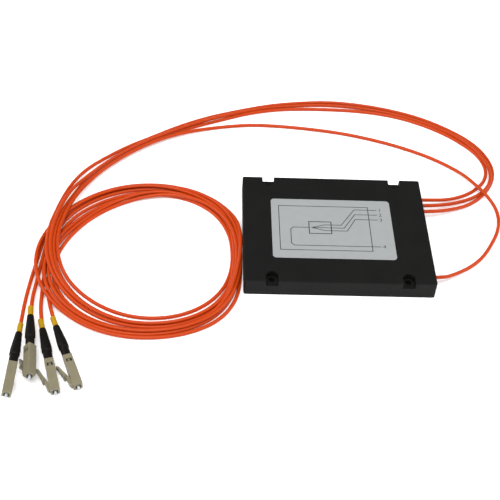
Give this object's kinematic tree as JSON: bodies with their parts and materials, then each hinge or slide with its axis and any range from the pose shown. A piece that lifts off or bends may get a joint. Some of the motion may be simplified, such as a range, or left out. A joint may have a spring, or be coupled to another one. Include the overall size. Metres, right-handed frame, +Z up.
{
  "type": "fibre optic splitter",
  "caption": "Flat black fibre optic splitter module with orange pigtails coiled beside it, each ending in a small latched plug.",
  "frame": {"origin": "bottom centre of the box, on the surface it lies on", "axes": "+X along the box's length towards the wall that the cords leave, +Y across the box away from the camera, +Z up through its roof"},
  "size_m": [0.2638, 0.2381, 0.0108],
  "materials": {
    "box": "fine moulded grain",
    "label": "satin film",
    "coupler": "drawn tube",
    "pad": "closed-cell foam",
    "anchor": "turned",
    "buffer": "extruded",
    "cord": "extruded jacket, satin",
    "housing": "moulded, satin",
    "ferrule": "polished ceramic",
    "holder": "turned",
    "spring": "drawn wire",
    "rear_body": "moulded, satin",
    "crimp_ring": "crimped",
    "boot": "moulded, satin",
    "sleeve": "extruded, satin"
  },
  "bodies": {
    "module": {"anchor_input": "anchor", "anchor_output_1": "anchor", "anchor_output_2": "anchor", "anchor_output_3": "anchor", "boot_input": "boot", "boot_output_1": "boot", "boot_output_2": "boot", "boot_output_3": "boot", "box_base": "box", "box_cover": "box", "buffer_input": "buffer", "buffer_output_1": "buffer", "buffer_output_2": "buffer", "buffer_output_3": "buffer", "cord_coil": "cord", "cord_input_sweep": "cord", "cord_input_tail": "cord", "cord_output_1_sweep": "cord", "cord_output_1_tail": "cord", "cord_output_2_sweep": "cord", "cord_output_2_tail": "cord", "cord_output_3_sweep": "cord", "cord_output_3_tail": "cord", "coupler_pad": "pad", "coupler_tube": "coupler", "crimp_ring_input": "crimp_ring", "crimp_ring_output_1": "crimp_ring", "crimp_ring_output_2": "crimp_ring", "crimp_ring_output_3": "crimp_ring", "housing_input": "housing", "housing_output_1": "housing", "housing_output_2": "housing", "housing_output_3": "housing", "label": "label", "rear_body_input": "rear_body", "rear_body_output_1": "rear_body", "rear_body_output_2": "rear_body", "rear_body_output_3": "rear_body", "sleeve_input": "sleeve", "sleeve_output_1": "sleeve", "sleeve_output_2": "sleeve", "sleeve_output_3": "sleeve", "spring_input": "spring", "spring_output_1": "spring", "spring_output_2": "spring", "spring_output_3": "spring"},
    "latch_input": {"latch_input": "housing"},
    "pin_input": {"ferrule_input": "ferrule", "holder_input": "holder"},
    "latch_output_1": {"latch_output_1": "housing"},
    "pin_output_1": {"ferrule_output_1": "ferrule", "holder_output_1": "holder"},
    "latch_output_2": {"latch_output_2": "housing"},
    "pin_output_2": {"ferrule_output_2": "ferrule", "holder_output_2": "holder"},
    "latch_output_3": {"latch_output_3": "housing"},
    "pin_output_3": {"ferrule_output_3": "ferrule", "holder_output_3": "holder"}
  },
  "joints": [
    {"name": "latch_press_input", "type": "hinge", "parent": "module", "child": "latch_input", "pos_m": [-0.16069, -0.10769, 0.00558], "axis": [0.9659, -0.0215, -0.2581], "range_deg": [0, 9], "stiffness_Nm_per_rad": 0.15},
    {"name": "ferrule_push_input", "type": "slide", "parent": "module", "child": "pin_input", "axis": [0.0017, 0.9971, -0.0767], "range_m": [0, 0.0008], "stiffness_N_per_m": 1500, "springref_m": -0.003, "deforming": ["spring_input"]},
    {"name": "latch_press_output_1", "type": "hinge", "parent": "module", "child": "latch_output_1", "pos_m": [-0.15344, -0.09594, 0.00487], "axis": [0.7069, 0.0445, -0.7059], "range_deg": [0, 9], "stiffness_Nm_per_rad": 0.15},
    {"name": "ferrule_push_output_1", "type": "slide", "parent": "module", "child": "pin_output_1", "axis": [-0.1199, 0.9911, -0.0576], "range_m": [0, 0.0008], "stiffness_N_per_m": 1500, "springref_m": -0.003, "deforming": ["spring_output_1"]},
    {"name": "latch_press_output_2", "type": "hinge", "parent": "module", "child": "latch_output_2", "pos_m": [-0.14244, -0.10211, 0.0026], "axis": [0, 0, -1], "range_deg": [0, 9], "stiffness_Nm_per_rad": 0.15},
    {"name": "ferrule_push_output_2", "type": "slide", "parent": "module", "child": "pin_output_2", "axis": [-0.2689, 0.9632, 0], "range_m": [0, 0.0008], "stiffness_N_per_m": 1500, "springref_m": -0.003, "deforming": ["spring_output_2"]},
    {"name": "latch_press_output_3", "type": "hinge", "parent": "module", "child": "latch_output_3", "pos_m": [-0.1325, -0.09933, 0.0026], "axis": [0, 0, -1], "range_deg": [0, 9], "stiffness_Nm_per_rad": 0.15},
    {"name": "ferrule_push_output_3", "type": "slide", "parent": "module", "child": "pin_output_3", "axis": [-0.3697, 0.9291, 0], "range_m": [0, 0.0008], "stiffness_N_per_m": 1500, "springref_m": -0.003, "deforming": ["spring_output_3"]}
  ]
}
